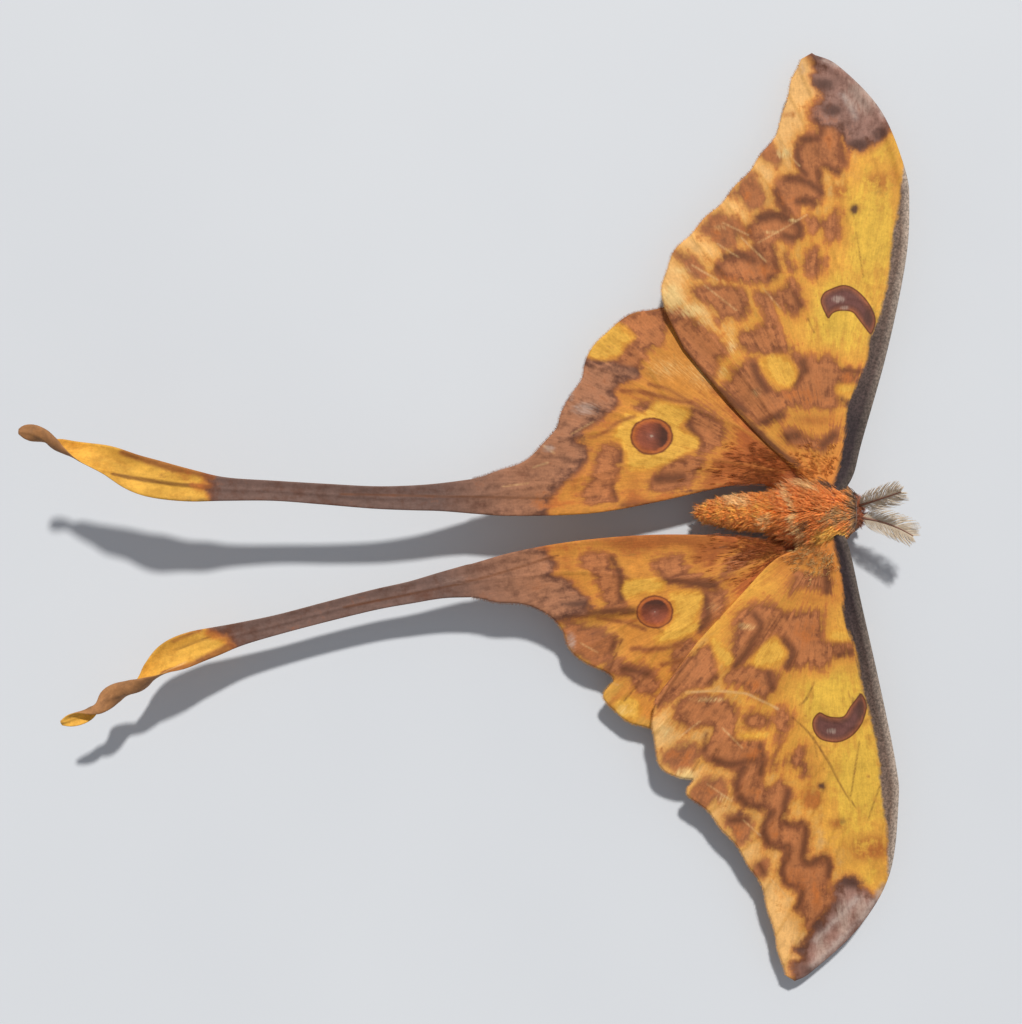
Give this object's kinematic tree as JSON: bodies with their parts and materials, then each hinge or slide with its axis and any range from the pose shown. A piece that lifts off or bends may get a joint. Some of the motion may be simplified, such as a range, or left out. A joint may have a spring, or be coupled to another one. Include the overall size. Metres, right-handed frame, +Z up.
{
  "type": "long-tailed moon moth at rest",
  "caption": "Life-size male long-tailed moon moth, wings spread flat, standing on its feet, with feathery feelers and long twisted hindwing tails.",
  "frame": {"origin": "on the floor, at the middle of the moth's footprint", "axes": "+X towards the head, +Y towards the moth's left wing, +Z up"},
  "size_m": [0.1102, 0.1186, 0.0145],
  "materials": {
    "body_pile": "soft rust and yellow pile with grey tufts at the collar",
    "eye": "dark, glossy, finely faceted",
    "forewing": "matt powdery scales, yellow with rust bands, pale veins and a grey leading edge",
    "hindwing": "matt powdery scales, rust and yellow with an eye spot",
    "tail": "matt powdery scales, mauve brown along the stem and yellow at the end",
    "feeler": "straw-coloured comb of fine hairy rays",
    "leg": "dark reddish-brown short pile"
  },
  "bodies": {
    "root": {"head": "body_pile", "eye_left": "eye", "eye_right": "eye", "thorax": "body_pile", "abdomen": "body_pile", "forewing_left": "forewing", "forewing_right": "forewing", "hindwing_left": "hindwing", "hindwing_right": "hindwing", "tail_left": "tail", "tail_right": "tail", "tail_end_left": "tail", "tail_end_right": "tail", "antenna_left": "feeler", "antenna_right": "feeler", "leg_front_left": "leg", "leg_front_right": "leg", "leg_middle_left": "leg", "leg_middle_right": "leg", "leg_hind_left": "leg", "leg_hind_right": "leg"}
  },
  "joints": []
}
